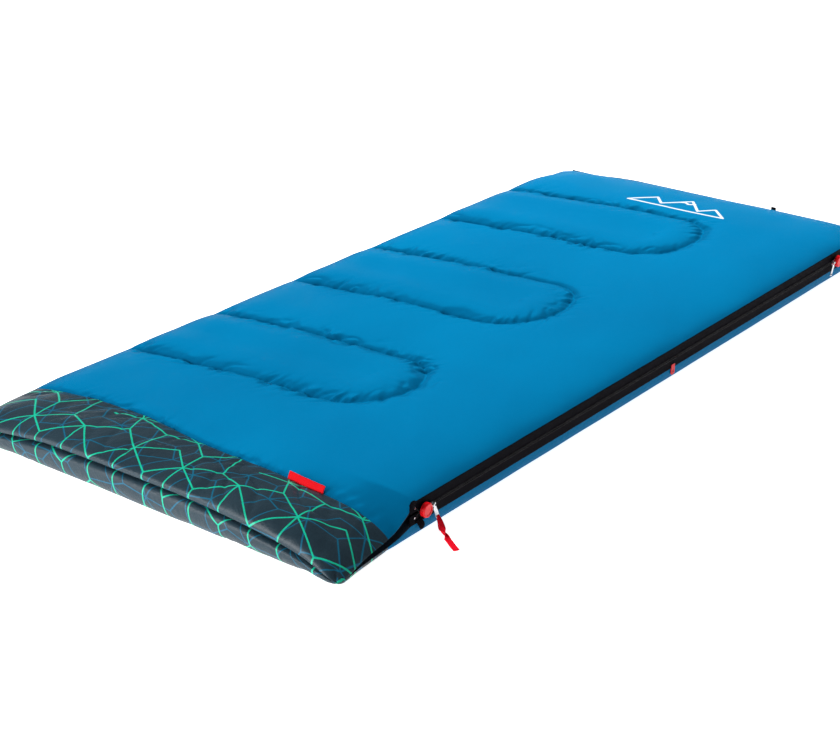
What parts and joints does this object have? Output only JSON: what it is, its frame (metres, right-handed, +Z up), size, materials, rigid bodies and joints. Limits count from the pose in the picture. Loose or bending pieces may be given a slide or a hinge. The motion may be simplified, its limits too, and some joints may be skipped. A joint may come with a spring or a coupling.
{
  "type": "rectangular sleeping bag",
  "caption": "Flat rectangular quilted sleeping bag with a two-way side zip, open head end with a printed cuff, and a top quilt that folds open into a blanket.",
  "frame": {"origin": "middle of the bag's underside, on the ground it lies on", "axes": "+Z up, +Y from the open head end to the foot, +X from the fold to the zip side"},
  "size_m": [0.9109, 1.9049, 0.0808],
  "materials": {
    "shell_fabric": "satin polyester taffeta, bright blue",
    "printed_fabric": "navy polyester with a fine green and blue line print",
    "lining_fabric": "brushed navy polyester",
    "insulation": "white lofted polyester fibre",
    "thread": "blue polyester sewing thread",
    "zip_tape": "black woven polyester tape",
    "zip_coil": "black nylon coil",
    "zip_metal": "tumbled zinc alloy",
    "red_plastic": "glossy red moulding",
    "red_ribbon": "red satin ribbon",
    "label_fabric": "red woven label with no lettering",
    "black_webbing": "black woven webbing"
  },
  "bodies": {
    "bottom_quilt": {"bottom_shell": "shell_fabric", "bottom_insulation": "insulation", "bottom_lining": "lining_fabric", "bottom_cuff": "printed_fabric", "bottom_quilting_thread": "thread", "zip_tape_lower_side": "zip_tape", "zip_tape_lower_foot": "zip_tape", "zip_coil_lower": "zip_coil", "zip_stops_lower": "zip_metal", "fold_strip": "shell_fabric", "side_loop": "red_plastic", "foot_tab": "black_webbing"},
    "top_quilt": {"top_shell": "shell_fabric", "top_insulation": "insulation", "top_lining": "lining_fabric", "top_cuff": "printed_fabric", "top_quilting_thread": "thread", "zip_tape_upper_side": "zip_tape", "zip_tape_upper_foot": "zip_tape", "zip_coil_upper": "zip_coil", "zip_stops_upper": "zip_metal", "woven_label": "label_fabric"},
    "head_slider": {"head_slider": "zip_metal", "head_slider_guard": "red_plastic"},
    "head_pull": {"head_pull": "zip_metal"},
    "head_ribbon": {"head_pull_ribbon": "red_ribbon"},
    "foot_slider": {"foot_slider": "zip_metal", "foot_slider_guard": "red_plastic"},
    "foot_pull": {"foot_pull": "zip_metal"}
  },
  "joints": [
    {"name": "quilt_fold", "type": "hinge", "parent": "bottom_quilt", "child": "top_quilt", "pos_m": [-0.419, 0, 0.04], "axis": [0, -1, 0], "range_deg": [0, 180]},
    {"name": "head_slider_slide", "type": "slide", "parent": "bottom_quilt", "child": "head_slider", "axis": [0, 1, 0], "range_m": [0, 1.38]},
    {"name": "head_pull_swing", "type": "hinge", "parent": "head_slider", "child": "head_pull", "pos_m": [0.4217, -0.717, 0.049], "axis": [0, -0.9135, -0.4067], "range_deg": [0, 90]},
    {"name": "head_ribbon_lift", "type": "hinge", "parent": "head_pull", "child": "head_ribbon", "pos_m": [0.4217, -0.70525, 0.0226], "axis": [0, -0.9135, -0.4067], "range_deg": [0, 30]},
    {"name": "foot_slider_slide", "type": "slide", "parent": "bottom_quilt", "child": "foot_slider", "axis": [0, -1, 0], "range_m": [0, 1.38]},
    {"name": "foot_pull_swing", "type": "hinge", "parent": "foot_slider", "child": "foot_pull", "pos_m": [0.4217, 0.717, 0.049], "axis": [0, -0.9135, 0.4067], "range_deg": [0, 150]}
  ]
}
